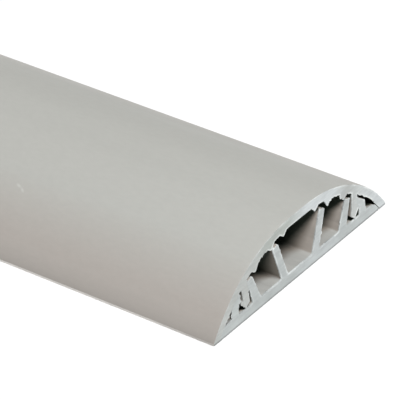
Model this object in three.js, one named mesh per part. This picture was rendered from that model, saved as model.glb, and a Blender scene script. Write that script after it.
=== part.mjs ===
import * as THREE from "three";

// Floor cord cover, 75 mm wide: a ribbed base strip and the domed cover that snaps over it.
// Millimetres. X runs along the strip, Y across it, Z up, and the floor is Z = 0.
// Both sections mirror about their own middle, so each is written as its +Y half.

const length = 1000;
const gap = 0.3;
const sidePlay = 0.2;

// Cover: a shell between two arcs, with a small blunt nose along each long edge.
const coverWidth = 75;
const coverHeight = 19.7;
const crownHalf = 3;
const crownWall = 2.75;
const noseHeight = 0.7;
const noseRadius = 0.25;
const footWidth = 2;
const domeSteps = 28;

// Legs of the cover, which lean inward. Each ends in a point, with a barb on its outer side.
// Depths and insets are level, and rises are above the point.
const legInset = 12.55;
const legLean = 8;
const legThickness = 2.5;
const pointInset = 1.9;
const pointRise = 1.1;
const barbDepth = 1.2;
const barbTipRise = 2.5;
const barbShoulderRise = 2.7;
const legRadius = 0.3;
const legRootRadius = 0.5;

// Base: a plate whose edges taper to just inside the cover's feet.
const plate = 3.2;
const edgeDrop = 0.3;
const ledgeRise = 0.2;
const edgeRadius = 0.3;
const shoulderRadius = 0.6;
const rootRadius = 0.5;

// Ribs of the base, which lean outward: a low pair next to the legs, and a tall pair that
// divides the space into three channels.
const uprightInset = 1.7;
const dividerReach = 10.2;
const tipRadius = 0.7;

// Hook posts of the base, whose lips close over the barbs.
const postWidth = 2.5;
const postRadius = 0.8;
const lipRadius = 0.3;

// Arc that starts level at the crown and falls to a point near the floor.
function domeArc(crownZ, endY, endZ) {
  const run = endY - crownHalf;
  const fall = crownZ - endZ;
  const radius = (run * run + fall * fall) / (2 * fall);
  return { y: crownHalf, z: crownZ - radius, radius };
}

const coverHalfWidth = coverWidth / 2;
const footInner = coverHalfWidth - footWidth;
const outerArc = domeArc(coverHeight, coverHalfWidth, noseHeight);
const innerArc = domeArc(coverHeight - crownWall, footInner, 0);
const legRootInner = footInner - legInset;
const legRootZ = heightOnArc(innerArc, legRootInner);
const legRootOuter = legOuterAt(heightOnArc(innerArc, legOuterAt(legRootZ)));
const legBottom = plate + gap;
const barbTipZ = legBottom + barbTipRise;
const barbShoulderZ = legBottom + barbShoulderRise;
const barbReach = legOuterAt(barbTipZ) + barbDepth;

// Each rib is placed by the middle of its tip and by its headroom under the cover.
const upright = {
  tipY: legRootInner - uprightInset,
  headroom: 1.2,
  lean: 18,
  rootWidth: 3.2,
  tipWidth: 2.2,
};
const divider = { tipY: dividerReach, headroom: 1.75, lean: 17.5, rootWidth: 2.7, tipWidth: 2.4 };

// Nubs under the cover keep the tips of the ribs in line, each at an offset from its rib's tip.
const nubRadius = 0.45;
const nubFillet = 0.3;
const nubs = [
  { y: upright.tipY - 2.2, depth: 1.8, inward: 1.5, outward: 1.8 },
  { y: divider.tipY + 1.9, depth: 1.75, inward: 1.4, outward: 1.9 },
  { y: divider.tipY - 3.4, depth: 1.45, inward: 1.3, outward: 1.6 },
];

function heightOnArc(arc, y) {
  return arc.z + Math.sqrt(arc.radius ** 2 - (y - arc.y) ** 2);
}

function reachOnArc(arc, z) {
  return arc.y + Math.sqrt(arc.radius ** 2 - (z - arc.z) ** 2);
}

// How far the sides of a leg are from the cover's middle at a height.
function legInnerAt(z) {
  return legRootInner - (legRootZ - z) * Math.tan(THREE.MathUtils.degToRad(legLean));
}

function legOuterAt(z) {
  return legInnerAt(z) + legThickness;
}

// Corners on an arc between two distances from the middle, both ends included.
function arcCorners(arc, fromY, toY) {
  const fromAngle = Math.asin((fromY - arc.y) / arc.radius);
  const toAngle = Math.asin((toY - arc.y) / arc.radius);
  const fullAngle = Math.asin((footInner - arc.y) / arc.radius);
  const share = Math.abs(toAngle - fromAngle) / fullAngle;
  const steps = Math.max(1, Math.round(domeSteps * share));
  return Array.from({ length: steps + 1 }, (_, i) => {
    const angle = fromAngle + ((toAngle - fromAngle) * i) / steps;
    return [arc.y + arc.radius * Math.sin(angle), arc.z + arc.radius * Math.cos(angle), 0];
  });
}

// Corners of a rib that leans outward, from its outer root over the tip to its inner root.
function ribCorners({ tipY, headroom, lean, rootWidth, tipWidth }) {
  const angle = THREE.MathUtils.degToRad(lean);
  const tip = new THREE.Vector2(tipY, heightOnArc(innerArc, tipY) - headroom);
  const across = new THREE.Vector2(Math.cos(angle), -Math.sin(angle));
  const tipOuter = tip.clone().addScaledVector(across, tipWidth / 2);
  const tipInner = tip.clone().addScaledVector(across, -tipWidth / 2);
  const rootY = tipY - (tip.y - plate) * Math.tan(angle);
  const rootHalf = rootWidth / 2 / Math.cos(angle);
  return [
    [rootY + rootHalf, plate, rootRadius],
    [tipOuter.x, tipOuter.y, tipRadius],
    [tipInner.x, tipInner.y, tipRadius],
    [rootY - rootHalf, plate, rootRadius],
  ];
}

// Turns corners [y, z, radius] into outline points, with an arc at each corner that has a radius.
// An arc is made smaller where the sides next to its corner are too short for it.
function roundCorners(corners) {
  const origin = new THREE.Vector2();
  return corners.flatMap(([y, z, radius], i) => {
    const corner = new THREE.Vector2(y, z);
    if (radius === 0) {
      return [corner];
    }
    const before = corners[(i + corners.length - 1) % corners.length];
    const after = corners[(i + 1) % corners.length];
    const back = new THREE.Vector2(before[0] - y, before[1] - z);
    const ahead = new THREE.Vector2(after[0] - y, after[1] - z);
    const room = 0.48 * Math.min(back.length(), ahead.length());
    back.normalize();
    ahead.normalize();
    const halfAngle = Math.acos(back.dot(ahead)) / 2;
    const tangent = Math.min(radius / Math.tan(halfAngle), room);
    const middle = back.clone().add(ahead).normalize();
    const centre = corner.clone().addScaledVector(middle, tangent / Math.cos(halfAngle));
    const start = corner.clone().addScaledVector(back, tangent).sub(centre);
    const end = corner.clone().addScaledVector(ahead, tangent).sub(centre);
    const sweep = Math.atan2(start.cross(end), start.dot(end));
    const steps = Math.max(2, Math.ceil(Math.abs(sweep) / 0.4));
    return Array.from({ length: steps + 1 }, (_, step) =>
      start.clone().rotateAround(origin, (sweep * step) / steps).add(centre));
  });
}

// Mirrors a half outline about its middle, shifts it across and runs it along X.
function strip(name, halfCorners, shift, material) {
  const mirrored = halfCorners.map(([y, z, radius]) => [-y, z, radius]).reverse();
  const section = new THREE.Shape(roundCorners([...halfCorners, ...mirrored]));
  const geometry = new THREE.ExtrudeGeometry(section, { depth: length, bevelEnabled: false });
  const turn = new THREE.Matrix4().set(0, 0, 1, -length / 2, 1, 0, 0, shift, 0, 1, 0, 0, 0, 0, 0, 1);
  geometry.applyMatrix4(turn);
  const mesh = new THREE.Mesh(geometry, material);
  mesh.name = name;
  return mesh;
}

function nubCorners({ y, depth, inward, outward }) {
  return [
    [y + outward, heightOnArc(innerArc, y + outward), nubFillet],
    [y, heightOnArc(innerArc, y) - depth, nubRadius],
    [y - inward, heightOnArc(innerArc, y - inward), nubFillet],
  ];
}

// Corners of a leg, from its outer side round its barb and point to its inner side.
function legCorners() {
  const sideZ = legBottom + pointRise;
  return [
    [legOuterAt(barbShoulderZ), barbShoulderZ, legRadius],
    [barbReach, barbTipZ, legRadius],
    [legInnerAt(legBottom) + pointInset, legBottom, legRadius],
    [legInnerAt(sideZ), sideZ, legRadius],
  ];
}

// Underside of the cover from a leg to the crown, with the nubs standing down from it.
function undersideCorners() {
  const corners = [[legRootInner, legRootZ, legRootRadius]];
  let from = legRootInner;
  for (const nub of nubs) {
    corners.push(...arcCorners(innerArc, from, nub.y + nub.outward).slice(1, -1));
    corners.push(...nubCorners(nub));
    from = nub.y - nub.inward;
  }
  return [...corners, ...arcCorners(innerArc, from, crownHalf).slice(1)];
}

const coverHalf = [
  ...arcCorners(outerArc, crownHalf, coverHalfWidth),
  [coverHalfWidth, 0, noseRadius],
  ...arcCorners(innerArc, footInner, legRootOuter),
  ...legCorners(),
  ...undersideCorners(),
];

// The base may sit off the middle of the cover by the side play, so its fits allow for that.
const edgeArc = { ...innerArc, y: innerArc.y - sidePlay, radius: innerArc.radius - gap };
const edgeTop = plate - edgeDrop;
const postInner = barbReach + sidePlay + gap;
const postOuter = postInner + postWidth;
const lipBottom = barbShoulderZ + gap;
const lipReachAt = (z) => legOuterAt(z) + sidePlay + gap;
const lipTop = heightOnArc(edgeArc, lipReachAt(legRootZ));

const baseHalf = [
  [reachOnArc(edgeArc, 0), 0, edgeRadius],
  [reachOnArc(edgeArc, edgeTop), edgeTop, shoulderRadius],
  [postOuter, plate + ledgeRise, rootRadius],
  [postOuter, heightOnArc(edgeArc, postOuter), postRadius],
  [lipReachAt(lipTop), lipTop, lipRadius],
  [lipReachAt(lipBottom), lipBottom, lipRadius],
  [postInner, lipBottom, lipRadius],
  [postInner, plate, lipRadius],
  ...ribCorners(upright),
  ...ribCorners(divider),
];

const coverPlastic = new THREE.MeshStandardMaterial({ color: 0xb9b6b0, roughness: 0.5 });
const basePlastic = new THREE.MeshStandardMaterial({ color: 0xaeaca7, roughness: 0.55 });

const cordCover = new THREE.Group();
cordCover.name = "floor_cord_cover";
cordCover.add(strip("base_strip", baseHalf, -sidePlay, basePlastic));
cordCover.add(strip("snap_cover", coverHalf, 0, coverPlastic));

export default cordCover;
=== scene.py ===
import math

import bmesh
import bpy
from mathutils import Matrix, Vector, bvhtree, geometry, kdtree, noise


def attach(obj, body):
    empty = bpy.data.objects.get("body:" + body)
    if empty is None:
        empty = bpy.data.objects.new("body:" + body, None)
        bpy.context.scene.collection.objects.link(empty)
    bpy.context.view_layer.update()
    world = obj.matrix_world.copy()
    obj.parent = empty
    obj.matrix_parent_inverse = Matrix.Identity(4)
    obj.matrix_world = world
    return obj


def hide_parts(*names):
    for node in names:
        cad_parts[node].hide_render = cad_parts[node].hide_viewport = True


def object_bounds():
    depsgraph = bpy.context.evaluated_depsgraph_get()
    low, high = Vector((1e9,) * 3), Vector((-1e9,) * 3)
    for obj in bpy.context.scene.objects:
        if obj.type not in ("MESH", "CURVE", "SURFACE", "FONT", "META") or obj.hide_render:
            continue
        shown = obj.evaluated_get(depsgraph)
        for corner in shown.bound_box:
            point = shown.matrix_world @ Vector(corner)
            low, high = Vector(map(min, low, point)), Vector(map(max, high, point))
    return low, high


# Floor cord cover, seen from above one saw-cut end. Metres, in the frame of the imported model:
# X along the strip, Y across it, Z up from the floor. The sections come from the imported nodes,
# and this script adds smooth shading, the rough saw cuts with their burrs, and the materials.
# The near end, which the photo shows, is the one at +X.

MM = 0.001

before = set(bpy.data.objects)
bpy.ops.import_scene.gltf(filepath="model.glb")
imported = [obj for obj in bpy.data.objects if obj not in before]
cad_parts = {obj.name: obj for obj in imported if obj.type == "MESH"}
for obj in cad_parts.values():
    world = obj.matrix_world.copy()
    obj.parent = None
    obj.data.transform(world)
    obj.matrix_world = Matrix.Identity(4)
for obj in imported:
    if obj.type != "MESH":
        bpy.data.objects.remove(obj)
cad_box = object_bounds()
low, high = cad_box
scene = bpy.context.scene


# The pieces: each section is read from its node's +X end and run along X again. A section is
# flat, so the x of its points is Y in the frame, and their y is Z.

WELD_DISTANCE = 1e-6
END_TOLERANCE = 1e-5
HULL_TOLERANCE = 0.02 * MM
OUTLINE_STEP = 0.25 * MM
BAY_LENGTH = 50 * MM
SMOOTH_ANGLE = math.radians(32)

# In the photo the base sits a little further toward -Y, and the inner side of the cover's leg on
# the +Y side stands more upright, so the slit beside it is wider. The leg's points lie in
# LEG_SPAN below LEG_ROOT. They move by LEG_RISE times their distance below it, those of the
# inner side in full and those of the outer side hardly.
BASE_SHIFT = -0.2 * MM
LEG_SPAN = (21.3 * MM, 24.6 * MM)
LEG_ROOT = 11.5 * MM
LEG_RISE = 0.05
LEG_WIDTH = 2.5 * MM

# The saw's burr fades out over these depths behind each cut, and the faces of the first CUT_BAYS
# bays have the cut's plastic.
BURR_DEPTHS = [0, 0.12 * MM, 0.35 * MM, 0.9 * MM]
BURR_SHARES = [1, 0.8, 0.35, 0]
CUT_BAYS = 2

# A flake's height is a sum of fine, broad and ragged noise, less FLAKE_FLOOR, times BURR_HEIGHT.
# Each piece has a seed, and the ragged noise and the near end add theirs to it.
BURR_HEIGHT = 0.75 * MM
FLAKE_FLOOR = 0.05
FINE_SIZE = 0.8 * MM
BROAD_SIZE = 4 * MM
BROAD_WEIGHT = 0.7
RAGGED_SIZE = 0.4 * MM
RAGGED_WEIGHT = 0.35
RAGGED_SEED = 5
NEAR_END_SEED = 50

# The outer edges have a chamfer instead, which varies by CHAMFER_CHANGE. A share of it is also
# taken off the flakes.
CHAMFER = 0.08 * MM
CHAMFER_CHANGE = 0.8
CHAMFER_OFF_FLAKES = 0.4

# A flake takes up OPEN_ROOM of the gap to the other piece at the most, so the gap stays open.
# Fine gaps and those at the feet are closed, because each piece's burr takes up CLOSED_ROOM of
# them, down to a hairline at the +Y foot. The burr is heaviest next to the foot on the -Y side.
OPEN_ROOM = 0.25
CLOSED_ROOM = 0.47
HAIRLINE_ROOM = 0.38
CLOSED_GAP = 0.5 * MM
CLOSED_FOOT_GAP = 0.9 * MM
FOOT_START = 32.5 * MM
HEAVY_BURR = 0.3 * MM
HEAVY_BURR_END = -28 * MM

# The slit beside the +Y leg and the roof of the middle channel have no burr. These are their
# spans in Y and in Z.
CLEAN_EDGES = [
    (20.1 * MM, 23 * MM, 0, 10.6 * MM),
    (-5.2 * MM, 5.2 * MM, 16.5 * MM, 18 * MM),
]

# In a corner of its own outline a burr takes up CORNER_SHARE of the free circle's radius at the
# most, so it never crosses the burr on the corner's other side.
CORNER_SHARE = 0.75
CORNER_REACH = 1.5 * MM

# The cut face is a fine mesh in staggered rows, with shallow relief: saw marks, which are noise
# drawn out along a slope, and broader clouds.
FACE_STEP = 0.42 * MM
ROW_SHARE = 0.87
FACE_MARGIN = 0.26 * MM
DELAUNAY_INSIDE = 1
DELAUNAY_EPSILON = 1e-9
RELIEF = 0.07 * MM
RELIEF_LEVEL = 0.6
MARK_SIZE = 0.9 * MM
MARK_ACROSS = (0.9, 0.45)
MARK_ALONG = 0.08
MARK_WEIGHT = 0.5
CLOUD_SIZE = 3 * MM
CLOUD_WEIGHT = 0.4

# A painted highlight runs as a rim along the cut's edges, except at closed gaps and near the
# floor. It fades out over RIM_WIDTH on the cut face and by RIM_SHARES behind it.
RIM_WIDTH = 0.5 * MM
RIM_SHARES = [1, 1, 0.5, 0]
RIM_FLOOR = 0.6 * MM

# The faces inside have painted light near a cut and painted shade beyond it. The painted light
# reaches in as far as light from above can, which falls LIGHT_SLOPE times as far as it goes in.
# That depends on the free height over each point: the mean of a fan of rays, less LOST_HEIGHT.
LIGHT_SLOPE = 1.42
SKY_FAN = [math.radians(degrees) for degrees in range(-45, 60, 15)]
RAY_OFFSET = 0.01 * MM
RAY_LIFT = 0.5 * MM
LOST_HEIGHT = 0.8 * MM
LEAST_ROOF = 0.2 * MM

# The painted light reaches further in from SIDE_START toward -Y, up to SIDE_REACH more after
# SIDE_WIDTH. Faces that look down get more painted shade, down to OVERHANG_SHADE.
SIDE_REACH = 0.55
SIDE_START = 5 * MM
SIDE_WIDTH = 15 * MM
OVERHANG_SHADE = 0.5
OVERHANG_SLOPE = 2

# Material slots of a piece. Slot 0 is for its outer surface.
CUT_SLOT = 1
INSIDE_SLOT = 2


def end_outline(node):
    """The node's outline at its +X end as (y, z) points, anticlockwise seen from +X."""
    mesh = bmesh.new()
    mesh.from_mesh(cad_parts[node].data)
    bmesh.ops.remove_doubles(mesh, verts=mesh.verts, dist=WELD_DISTANCE)
    end = max(v.co.x for v in mesh.verts)
    at_end = {v for v in mesh.verts if v.co.x > end - END_TOLERANCE}
    neighbours = {}
    for edge in mesh.edges:
        caps = [at_end.issuperset(face.verts) for face in edge.link_faces]
        if at_end.issuperset(edge.verts) and caps.count(True) == 1:
            a, b = edge.verts
            neighbours.setdefault(a, []).append(b)
            neighbours.setdefault(b, []).append(a)
    start = next(iter(neighbours))
    loop = [start]
    before, here = start, neighbours[start][0]
    while here is not start:
        loop.append(here)
        before, here = here, next(v for v in neighbours[here] if v is not before)
    points = [Vector((v.co.y, v.co.z)) for v in loop]
    mesh.free()
    area = sum(a.cross(b) for a, b in zip(points, points[1:] + points[:1]))
    return points if area > 0 else points[::-1]


def section(node):
    """The node's outline, with the base and the +Y leg's inner side where the photo has them."""
    points = end_outline(node)
    if node == "base_strip":
        return [p + Vector((BASE_SHIFT, 0)) for p in points]
    for p in points:
        if LEG_SPAN[0] < p.x < LEG_SPAN[1] and p.y < LEG_ROOT:
            share = min(1, (LEG_SPAN[1] - p.x) / LEG_WIDTH)
            p.x += LEG_RISE * (LEG_ROOT - p.y) * share
    return points


def refined(points, step):
    """The outline with points added on its long sides, so that no side is longer than step."""
    out = []
    for a, b in zip(points, points[1:] + points[:1]):
        count = max(1, math.ceil((b - a).length / step))
        out += [a.lerp(b, i / count) for i in range(count)]
    return out


def outward(points):
    """Unit normals of an anticlockwise outline, one at each point."""
    normals = []
    for before, after in zip(points[-1:] + points[:-1], points[1:] + points[:1]):
        normals.append(Vector((after.y - before.y, before.x - after.x)).normalized())
    return normals


def on_hull(points, corners):
    """For each point, whether it lies on the convex hull of the outline's corners."""
    hull = [corners[i] for i in geometry.convex_hull_2d(corners)]
    sides = list(zip(hull, hull[1:] + hull[:1]))
    flags = []
    for p in points:
        nearest = math.inf
        for a, b in sides:
            _, share = geometry.intersect_point_line(p, a, b)
            foot = a.lerp(b, min(max(share, 0), 1))
            nearest = min(nearest, (p - foot).length)
        flags.append(nearest < HULL_TOLERANCE)
    return flags


def tree_of(points):
    """A search tree over the points of a section."""
    tree = kdtree.KDTree(len(points))
    for i, p in enumerate(points):
        tree.insert(p.to_3d(), i)
    tree.balance()
    return tree


def section_noise(p, seed, size):
    """Noise at a point of a section, with features of about the given size."""
    return noise.noise(Vector((p.x, p.y, seed * MM)) / size)


def corner_rooms(points, normals):
    """For each point, the radius of the largest free circle that touches the outline there."""
    tree = tree_of(points)
    rooms = []
    for p, n in zip(points, normals):
        room = CORNER_REACH
        for q, _, away in tree.find_range(p.to_3d(), 2 * CORNER_REACH):
            ahead = n.dot(q.to_2d() - p)
            if ahead > 0:
                room = min(room, away * away / (2 * ahead))
        rooms.append(room)
    return rooms


def has_clean_edge(p):
    """Whether a point of a section has no burr."""
    return any(y0 < p.x < y1 and z0 < p.y < z1 for y0, y1, z0, z1 in CLEAN_EDGES)


def burr_heights(points, outside, gaps, rooms, seed):
    """How far the saw's burr stands out from each point: flakes inside, a fine chamfer outside."""
    heights = []
    for p, is_outside, gap, corner_room in zip(points, outside, gaps, rooms):
        fine = section_noise(p, seed, FINE_SIZE)
        broad = BROAD_WEIGHT * section_noise(p, seed, BROAD_SIZE)
        ragged = RAGGED_WEIGHT * section_noise(p, seed + RAGGED_SEED, RAGGED_SIZE)
        flake = max(0, fine + broad + ragged - FLAKE_FLOOR) * BURR_HEIGHT
        room = OPEN_ROOM
        if p.x < HEAVY_BURR_END:
            flake += HEAVY_BURR
            room = CLOSED_ROOM
        chamfer = CHAMFER * (1 + CHAMFER_CHANGE * fine)
        if gap < (CLOSED_FOOT_GAP if abs(p.x) > FOOT_START else CLOSED_GAP):
            height = gap * (HAIRLINE_ROOM if p.x > FOOT_START else CLOSED_ROOM)
        elif has_clean_edge(p):
            height = 0
        elif is_outside:
            height = -chamfer
        else:
            height = min(flake - CHAMFER_OFF_FLAKES * chamfer, room * gap)
        heights.append(min(height, CORNER_SHARE * corner_room))
    return heights


def roof_heights(points, normals, outlines):
    """How high the free space is over each point, as light from above finds it."""
    verts, faces = [], []
    for outline in outlines:
        first, count = len(verts), 2 * len(outline)
        verts += [(x, p.x, p.y) for p in outline for x in (-1, 1)]
        faces += [[first + (i + k) % count for k in (0, 1, 3, 2)] for i in range(0, count, 2)]
    walls = bvhtree.BVHTree.FromPolygons(verts, faces)
    rays = [Vector((0, math.sin(angle), math.cos(angle))) for angle in SKY_FAN]
    heights = []
    for p, n in zip(points, normals):
        face, ahead = Vector((0, p.x, p.y)), Vector((0, n.x, n.y))
        room = walls.ray_cast(face + RAY_OFFSET * ahead, ahead)[3] or MM
        start = face + min(RAY_LIFT, room / 2) * ahead
        reach = sum((walls.ray_cast(start, ray)[3] or 0) * ray.z for ray in rays) / len(rays)
        reach *= 1 + SIDE_REACH * min(max((SIDE_START - p.x) / SIDE_WIDTH, 0), 1)
        heights.append(max(reach - LOST_HEIGHT, LEAST_ROOF))
    return heights


def face_relief(p, seed):
    """How deep the saw's marks are at a point of a cut face."""
    drawn_out = Vector((p.x * MARK_ACROSS[0] + p.y * MARK_ACROSS[1], seed * MM, p.y * MARK_ALONG))
    mark = noise.noise(drawn_out / MARK_SIZE)
    cloud = section_noise(p, seed, CLOUD_SIZE)
    return RELIEF * max(0, RELIEF_LEVEL + MARK_WEIGHT * mark + CLOUD_WEIGHT * cloud)


def face_grid(tree):
    """Points in staggered rows over the section's box that keep clear of the outline's points."""
    inner = []
    row = 0
    z = low.z + FACE_STEP / 2
    while z < high.z:
        y = low.y + FACE_STEP * (0.5 if row % 2 else 1)
        while y < high.y:
            if tree.find((y, z, 0))[2] > FACE_MARGIN:
                inner.append(Vector((y, z)))
            y += FACE_STEP
        z += FACE_STEP * ROW_SHARE
        row += 1
    return inner


def add_cut_face(mesh, rim, ring, rim_highlights, facing, seed):
    """Closes a ring of vertices with fine triangles that have shallow saw marks."""
    outline = [Vector((v.co.y, v.co.z)) for v in ring]
    tree = tree_of(outline)
    points = outline + face_grid(tree)
    loop = list(range(len(outline)))
    found = geometry.delaunay_2d_cdt(points, [], [loop], DELAUNAY_INSIDE, DELAUNAY_EPSILON)
    verts = []
    for p, origins in zip(found[0], found[3]):
        if origins and origins[0] < len(ring):
            verts.append(ring[origins[0]])
            continue
        vert = mesh.verts.new((ring[0].co.x - facing * face_relief(p, seed), p.x, p.y))
        _, nearest, away = tree.find(p.to_3d())
        vert[rim] = max(0, 1 - away / RIM_WIDTH) * rim_highlights[nearest]
        verts.append(vert)
    for triangle in found[2]:
        corners = [verts[i] for i in triangle]
        face = mesh.faces.new(corners if facing > 0 else corners[::-1])
        face.smooth = True
        face.material_index = CUT_SLOT


def run_along(name, node, other_node, surface, inside, cut, seed):
    """A closed strip with the node's section, smooth sides and a rough saw cut at both ends."""
    corners = section(node)
    points = refined(corners, OUTLINE_STEP)
    normals = outward(points)
    outside = on_hull(points, corners)
    other = refined(section(other_node), OUTLINE_STEP)
    roofs = roof_heights(points, normals, (points, other))
    tree = tree_of(other)
    gaps = [tree.find(p.to_3d())[2] for p in points]
    rooms = corner_rooms(points, normals)
    end_seeds = (seed, seed + NEAR_END_SEED)
    ends = [burr_heights(points, outside, gaps, rooms, end_seed) for end_seed in end_seeds]
    rim_highlights = [int(gap > CLOSED_GAP and p.y > RIM_FLOOR) for p, gap in zip(points, gaps)]

    # Each station along X has its share of the burr, its share of the painted rim highlight and
    # its end.
    bays = round((high.x - low.x) / BAY_LENGTH)
    burrs = list(zip(BURR_DEPTHS, BURR_SHARES, RIM_SHARES))
    stations = [(low.x + depth, share, highlight, 0) for depth, share, highlight in burrs]
    stations += [(low.x + (high.x - low.x) * i / bays, 0, 0, 0) for i in range(1, bays)]
    stations += [(high.x - depth, share, highlight, 1) for depth, share, highlight in burrs][::-1]

    mesh = bmesh.new()
    rim = mesh.verts.layers.float.new("rim")
    roof = mesh.verts.layers.float.new("roof")
    facing = mesh.verts.layers.float.new("facing")
    rings = []
    for x, share, highlight, end in stations:
        ring = []
        for p, n, burr, height, takes_highlight in zip(points, normals, ends[end], roofs, rim_highlights):
            q = p + n * burr * share
            vert = mesh.verts.new((x, min(max(q.x, low.y), high.y), min(max(q.y, low.z), high.z)))
            # The share of the painted highlight along the cut's rim.
            vert[rim] = highlight * takes_highlight
            # The free height and the facing set the painted shade inside.
            vert[roof] = height
            vert[facing] = min(1, max(OVERHANG_SHADE, 1 + OVERHANG_SLOPE * n.y))
            ring.append(vert)
        rings.append(ring)
    last_bay = len(rings) - 2
    for k, (near, far) in enumerate(zip(rings[:-1], rings[1:])):
        for i in range(len(points)):
            j = (i + 1) % len(points)
            face = mesh.faces.new((near[i], near[j], far[j], far[i]))
            face.smooth = True
            if not (outside[i] and outside[j]):
                face.material_index = CUT_SLOT if min(k, last_bay - k) < CUT_BAYS else INSIDE_SLOT
    add_cut_face(mesh, rim, rings[0], rim_highlights, -1, end_seeds[0])
    add_cut_face(mesh, rim, rings[-1], rim_highlights, 1, end_seeds[1])
    mesh.normal_update()
    data = bpy.data.meshes.new(name)
    mesh.to_mesh(data)
    mesh.free()
    data.set_sharp_from_angle(angle=SMOOTH_ANGLE)
    for material in (surface, cut, inside):
        data.materials.append(material)
    piece = bpy.data.objects.new(name, data)
    scene.collection.objects.link(piece)
    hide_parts(node)
    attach(piece, "root")


# Materials

# The outer plastic takes its edge's tone between these distances from the middle. A band of
# painted shade runs above the nose of each long edge, with a grey at each share of its height.
# The nose ends between the shares NOSE_TOP of that height. The nose's pale tone is painted light,
# which grows from NOSE_LEAST to full over the distances NOSE_FADE behind a cut.
EDGE_SPAN = (20 * MM, 33 * MM)
SHADE_BAND_HEIGHT = 5 * MM
SHADE_BAND_STOPS = [(0.13, 0.8), (0.25, 0.87), (0.45, 0.93), (1, 1)]
NOSE_TOP = (0.11, 0.15)
NOSE_FADE = (5 * MM, 20 * MM)
NOSE_LEAST = 0.45

# Faint pale nicks on the cover, each with its distance from the near end, its place across the
# strip, its turn from X toward +Y in degrees, and half its length.
NICKS = [(72.7 * MM, -23.4 * MM, -15, 1.2 * MM), (71 * MM, -24.1 * MM, -30, 1.1 * MM)]
NICK_WIDTH = 0.45 * MM
NICK_DEPTH = 20 * MM
NICK_MOST = 0.35
NICK_FULL = 0.8

# Inside, walls and floors differ in painted light by the height of their normals, floors a little
# paler. The painted light fades out between these shares of its reach, and at MIDDLE_LIGHT the
# plastic has the middle tone of its painted shade.
LEVEL_SPAN = (0.4, 0.9)
FADE_SPAN = (0.45, 1.45)
MIDDLE_LIGHT = 0.6

# A cut face has painted shade near the floor, and its painted rim highlight is weaker toward -Y.
FOOT_SPAN = (0.2 * MM, 0.65 * MM)
FOOT_SHADE = 0.5
HIGHLIGHT_SPAN = (-24 * MM, -16 * MM)
HIGHLIGHT_LEAST = 0.1


def linear(red, green, blue):
    """A picture colour, 0 to 255, as the linear values that shaders take."""
    def channel(value):
        value /= 255
        return value / 12.92 if value <= 0.04045 else ((value + 0.055) / 1.055) ** 2.4
    return (channel(red), channel(green), channel(blue), 1)


def grey(value):
    """A linear grey as a colour."""
    return (value, value, value, 1)


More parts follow.
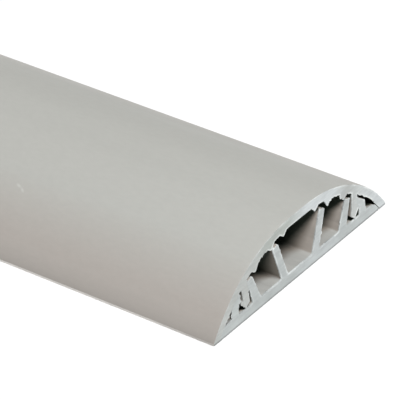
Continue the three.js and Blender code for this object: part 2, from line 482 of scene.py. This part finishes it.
class Nodes:
    """Short calls for building one material's nodes."""

    def __init__(self, name, roughness, specular):
        self.material = bpy.data.materials.new(name)
        self.material.use_nodes = True
        self.tree = self.material.node_tree
        self.shader = self.tree.nodes["Principled BSDF"]
        self.shader.inputs["Roughness"].default_value = roughness
        self.shader.inputs["Specular IOR Level"].default_value = specular
        surface = self.tree.nodes.new("ShaderNodeTexCoord")
        self.place = surface.outputs["Object"]
        self.normal = surface.outputs["Normal"]

    def link(self, output, socket):
        """Joins an output to an input."""
        self.tree.links.new(output, socket)

    def noise(self, scale, detail=3, stretch=(1, 1, 1), roughness=0.5):
        """Noise over the piece, with scale features a metre, each stretched along an axis."""
        mapping = self.tree.nodes.new("ShaderNodeMapping")
        mapping.inputs["Scale"].default_value = [1 / s for s in stretch]
        self.link(self.place, mapping.inputs["Vector"])
        texture = self.tree.nodes.new("ShaderNodeTexNoise")
        texture.inputs["Scale"].default_value = scale
        texture.inputs["Detail"].default_value = detail
        texture.inputs["Roughness"].default_value = roughness
        self.link(mapping.outputs["Vector"], texture.inputs["Vector"])
        return texture.outputs["Fac"]

    def part_of(self, vector, axis):
        """One axis of a vector."""
        split = self.tree.nodes.new("ShaderNodeSeparateXYZ")
        self.link(vector, split.inputs["Vector"])
        return split.outputs[axis]

    def coordinate(self, axis):
        """The place along an axis, in metres."""
        return self.part_of(self.place, axis)

    def facing_up(self):
        """The height of the surface's normal: 1 on a level top, 0 on an upright wall."""
        return self.part_of(self.normal, "Z")

    def depth(self):
        """The distance behind the nearer cut end, in metres."""
        return self.math("SUBTRACT", high.x, self.math("ABSOLUTE", self.coordinate("X")))

    def attribute(self, name):
        """A number that the mesh keeps at each vertex."""
        node = self.tree.nodes.new("ShaderNodeAttribute")
        node.attribute_name = name
        return node.outputs["Fac"]

    def math(self, operation, a, b=None):
        """The result of an operation on one or two values, each an output or a number."""
        node = self.tree.nodes.new("ShaderNodeMath")
        node.operation = operation
        for socket, value in zip(node.inputs, (a, b)):
            if isinstance(value, (int, float)):
                socket.default_value = value
            elif value is not None:
                self.link(value, socket)
        return node.outputs["Value"]

    def ramp(self, value, stops):
        """The colour at a value between stops of (position, colour)."""
        node = self.tree.nodes.new("ShaderNodeValToRGB")
        elements = node.color_ramp.elements
        while len(elements) < len(stops):
            elements.new(0.5)
        for element, (position, colour) in zip(elements, stops):
            element.position = position
            element.color = colour
        self.link(value, node.inputs["Fac"])
        return node.outputs["Color"]

    def mix(self, blend, a, b, factor=1):
        """Two colours blended by a factor, each an output or a fixed value."""
        node = self.tree.nodes.new("ShaderNodeMix")
        node.data_type = "RGBA"
        node.blend_type = blend
        for socket, value in (("Factor", factor), ("A", a), ("B", b)):
            if isinstance(value, (int, float, tuple)):
                node.inputs[socket].default_value = value
            else:
                self.link(value, node.inputs[socket])
        return node.outputs["Result"]

    def span(self, value, lowest, highest, start, end):
        """From lowest where the value is start to highest where it is end, and level beyond."""
        node = self.tree.nodes.new("ShaderNodeMapRange")
        node.inputs["From Min"].default_value = start
        node.inputs["From Max"].default_value = end
        node.inputs["To Min"].default_value = lowest
        node.inputs["To Max"].default_value = highest
        self.link(value, node.inputs["Value"])
        return node.outputs["Result"]

    def spot(self, centre, turn, reach):
        """A soft ellipsoid that is 1 at its centre and 0 at its reach along each axis."""
        mapping = self.tree.nodes.new("ShaderNodeMapping")
        mapping.vector_type = "TEXTURE"
        mapping.inputs["Location"].default_value = centre
        mapping.inputs["Rotation"].default_value = (0, 0, turn)
        mapping.inputs["Scale"].default_value = reach
        self.link(self.place, mapping.inputs["Vector"])
        gradient = self.tree.nodes.new("ShaderNodeTexGradient")
        gradient.gradient_type = "SPHERICAL"
        self.link(mapping.outputs["Vector"], gradient.inputs["Vector"])
        return gradient.outputs["Fac"]

    def bump(self, height, strength, distance, under=None):
        """Fine relief, over other relief where that is given."""
        node = self.tree.nodes.new("ShaderNodeBump")
        node.inputs["Strength"].default_value = strength
        node.inputs["Distance"].default_value = distance
        self.link(height, node.inputs["Height"])
        if under:
            self.link(under, node.inputs["Normal"])
        return node.outputs["Normal"]


def extruded_plastic(name, pale, dark, edge, nose, roughness, nicks=()):
    """Grey extruded PVC: slow tint changes, warmer long edges, faint die lines and a satin grain.
    A band of painted shade runs above the nose of each long edge, and the nose has painted
    light, less of it near a cut."""
    m = Nodes(name, roughness, specular=0.4)
    tint = m.ramp(m.noise(9, detail=2, stretch=(3, 1, 1)), [(0.3, dark), (0.7, pale)])
    across = m.math("ABSOLUTE", m.coordinate("Y"))
    toned = m.mix("MIX", tint, edge, m.span(across, 0, 1, *EDGE_SPAN))
    # Painted shade in a band above the nose.
    above = m.span(m.coordinate("Z"), 0, 1, 0, SHADE_BAND_HEIGHT)
    toned = m.mix("MULTIPLY", toned, m.ramp(above, [(at, grey(tone)) for at, tone in SHADE_BAND_STOPS]))
    # Painted light on the nose, less of it near a cut.
    lit_nose = m.mix("MIX", toned, nose, m.span(m.depth(), NOSE_LEAST, 1, *NOSE_FADE))
    toned = m.mix("MIX", lit_nose, toned, m.span(above, 0, 1, *NOSE_TOP))
    for behind, side, turn, half in nicks:
        reach = (half, NICK_WIDTH, NICK_DEPTH)
        spot = m.spot((high.x - behind, side, high.z), math.radians(turn), reach)
        toned = m.mix("MIX", toned, NICK_TONE, m.span(spot, 0, NICK_MOST, 0, NICK_FULL))
    grain = m.ramp(m.noise(900, stretch=(2, 1, 1)), [(0.3, grey(0.965)), (0.7, grey(1))])
    m.link(m.mix("MULTIPLY", toned, grain), m.shader.inputs["Base Color"])
    die_lines = m.noise(900, detail=2, stretch=(200, 1, 1))
    pebble = m.noise(2600, detail=2)
    gloss_drift = m.noise(120, stretch=(4, 1, 1))
    satin = m.span(gloss_drift, roughness - 0.05, roughness + 0.06, start=0.3, end=0.7)
    m.link(satin, m.shader.inputs["Roughness"])
    lined = m.bump(die_lines, strength=0.12, distance=0.05 * MM)
    pebbled = m.bump(pebble, strength=0.1, distance=0.04 * MM, under=lined)
    m.link(pebbled, m.shader.inputs["Normal"])
    return m.material


def channel_plastic_painted_shade(name, near_floor, near_wall, middle, painted_deep_shade):
    """Faces inside, in painted light as far in as light from above comes, and painted shade
    beyond.
    """
    m = Nodes(name, roughness=0.6, specular=0.25)
    # Painted light: floors a little paler than walls.
    near = m.mix("MIX", near_wall, near_floor, m.span(m.facing_up(), 0, 1, *LEVEL_SPAN))
    fall = m.math("MULTIPLY", m.depth(), LIGHT_SLOPE)
    shade = m.span(m.math("DIVIDE", fall, m.attribute("roof")), 1, 0, *FADE_SPAN)
    lit = m.math("MULTIPLY", shade, m.attribute("facing"))
    far = m.ramp(lit, [(0, painted_deep_shade), (MIDDLE_LIGHT, middle)])
    tint = m.mix("MIX", far, near, m.span(lit, 0, 1, MIDDLE_LIGHT, 1))
    grain = m.ramp(m.noise(500, stretch=(3, 1, 1)), [(0.3, grey(0.9)), (0.7, grey(1))])
    m.link(m.mix("MULTIPLY", tint, grain), m.shader.inputs["Base Color"])
    die_lines = m.noise(900, detail=2, stretch=(100, 1, 1))
    m.link(m.bump(die_lines, strength=0.2, distance=0.06 * MM), m.shader.inputs["Normal"])
    return m.material


def saw_cut_plastic(name, dull, left, right, rim_highlight_tone):
    """The cut face of the same PVC: duller, with saw marks, and a painted highlight in patches at
    its rim.
    """
    m = Nodes(name, roughness=0.7, specular=0.3)
    marks = m.noise(1500, stretch=(1, 9, 1), roughness=0.6)
    tones = [
        (0.22, left), (0.32, dull), (0.44, dull), (0.54, right), (0.7, right), (0.78, left),
        (0.95, right)]
    tone = m.ramp(m.span(m.coordinate("Y"), 0, 1, low.y, high.y), tones)
    # Painted shade at the foot of the cut face, close to the floor.
    foot = m.span(m.coordinate("Z"), FOOT_SHADE, 1, *FOOT_SPAN)
    cloudy = m.noise(260, detail=4, stretch=(1, 2, 1))
    cloud = m.ramp(cloudy, [(0.3, grey(0.85)), (0.7, grey(1))])
    streaks = m.ramp(marks, [(0.35, grey(0.91)), (0.6, grey(1))])
    # Painted highlight at the rim, in patches and weaker on the -Y side.
    patches = m.span(m.noise(220), 0, 1, start=0.4, end=0.6)
    side = m.span(m.coordinate("Y"), HIGHLIGHT_LEAST, 1, *HIGHLIGHT_SPAN)
    highlight = m.math("MULTIPLY", m.attribute("rim"), m.math("MULTIPLY", patches, side))
    face = m.mix("MULTIPLY", m.mix("MULTIPLY", m.mix("MULTIPLY", tone, cloud), streaks), foot)
    m.link(m.mix("MIX", face, rim_highlight_tone, highlight), m.shader.inputs["Base Color"])
    m.link(m.bump(marks, strength=0.4, distance=0.08 * MM), m.shader.inputs["Normal"])
    return m.material


NICK_TONE = linear(224, 227, 222)

cover_plastic = extruded_plastic(
    "cover_plastic",
    pale=linear(184, 184, 179),
    dark=linear(181, 180, 174),
    edge=linear(177, 171, 165),
    # The nose's pale tone is painted light.
    nose=linear(226, 222, 217),
    roughness=0.46,
    nicks=NICKS,
)
base_plastic = extruded_plastic(
    "base_plastic",
    pale=linear(182, 176, 169),
    dark=linear(176, 169, 162),
    edge=linear(174, 168, 161),
    # The nose's tone is painted light here too.
    nose=linear(178, 172, 165),
    roughness=0.5,
)
# Painted light and shade inside the channels, dark deep in and under overhangs.
inner_plastic_painted_shade = channel_plastic_painted_shade(
    "channel_plastic_painted_shade",
    near_floor=linear(186, 186, 182),
    near_wall=linear(186, 178, 170),
    middle=linear(157, 149, 140),
    painted_deep_shade=linear(60, 67, 59),
)
cover_cut = saw_cut_plastic(
    "cover_saw_cut",
    dull=linear(187, 192, 187),
    left=linear(195, 198, 195),
    right=linear(213, 218, 219),
    rim_highlight_tone=linear(236, 240, 238),
)
base_cut = saw_cut_plastic(
    "base_saw_cut",
    dull=linear(194, 199, 198),
    left=linear(195, 200, 199),
    right=linear(198, 203, 203),
    rim_highlight_tone=linear(230, 235, 234),
)

COVER_SEED = 11
BASE_SEED = 23
run_along("cover_shell", "snap_cover", "base_strip", cover_plastic, inner_plastic_painted_shade, cover_cut,
          COVER_SEED)
run_along("base_channel", "base_strip", "snap_cover", base_plastic, inner_plastic_painted_shade, base_cut,
          BASE_SEED)


# Floor, light and camera

FLOOR_SIZE = 60
FLOOR_DARK = linear(250, 250, 250)
FLOOR_PALE = linear(252, 252, 252)
SKY_COLOUR = (0.98, 0.99, 1, 1)
SKY_STRENGTH = 0.2
NEAR_END = Vector((high.x, 0, 0))

floor_nodes = Nodes("floor_white", roughness=0.9, specular=0.1)
floor_drift = floor_nodes.noise(3, detail=2)
floor_tone = floor_nodes.ramp(floor_drift, [(0.3, FLOOR_DARK), (0.7, FLOOR_PALE)])
floor_nodes.link(floor_tone, floor_nodes.shader.inputs["Base Color"])
bpy.ops.mesh.primitive_plane_add(size=FLOOR_SIZE, location=(0, 0, 0))
floor = bpy.context.object
floor.name = "floor"
floor.data.materials.append(floor_nodes.material)

world = bpy.data.worlds.new("studio")
world.use_nodes = True
background = world.node_tree.nodes["Background"]
background.inputs["Color"].default_value = SKY_COLOUR
background.inputs["Strength"].default_value = SKY_STRENGTH
scene.world = world


def direction(azimuth, elevation):
    """A unit vector that turns from +X toward +Y and then rises. Both angles are in radians."""
    return Vector((
        math.cos(azimuth) * math.cos(elevation),
        math.sin(azimuth) * math.cos(elevation),
        math.sin(elevation),
    ))


def softbox(name, azimuth, elevation, distance, size, power, colour):
    """A square area light that aims at the near end. Its angles are in degrees."""
    aim = direction(math.radians(azimuth), math.radians(elevation))
    data = bpy.data.lights.new(name, "AREA")
    data.size = size
    data.energy = power
    data.color = colour
    lamp = bpy.data.objects.new(name, data)
    lamp.location = NEAR_END + aim * distance
    lamp.rotation_euler = aim.to_track_quat("Z", "Y").to_euler()
    scene.collection.objects.link(lamp)


softbox("key", azimuth=-25, elevation=62, distance=6, size=2, power=335, colour=(1, 1, 1))
softbox("fill", azimuth=120, elevation=60, distance=6, size=3, power=40, colour=(0.97, 1, 0.98))

# The camera's place comes from fitting the straight edges and the section to the photograph.
AIM = NEAR_END + Vector((-25.36, -7.93, 18)) * MM
AIM_DISTANCE = 957.8 * MM
EYE_AZIMUTH = math.radians(-51.095)
EYE_ELEVATION = math.radians(33.783)
ROLL = math.radians(3.61)
FOCAL_PIXELS = 3765
PICTURE_PIXELS = 400
SENSOR = 36
CLIP_START = 0.05
CLIP_END = 100

back = direction(EYE_AZIMUTH, EYE_ELEVATION)
camera_data = bpy.data.cameras.new("camera")
camera_data.sensor_width = SENSOR
camera_data.lens = SENSOR * FOCAL_PIXELS / PICTURE_PIXELS
camera_data.clip_start = CLIP_START
camera_data.clip_end = CLIP_END
camera = bpy.data.objects.new("camera", camera_data)
level = (-back).to_track_quat("-Z", "Y").to_matrix().to_4x4()
place = Matrix.Translation(AIM + back * AIM_DISTANCE)
camera.matrix_world = place @ level @ Matrix.Rotation(-ROLL, 4, "Z")
scene.collection.objects.link(camera)
scene.camera = camera
scene.view_settings.view_transform = "Standard"
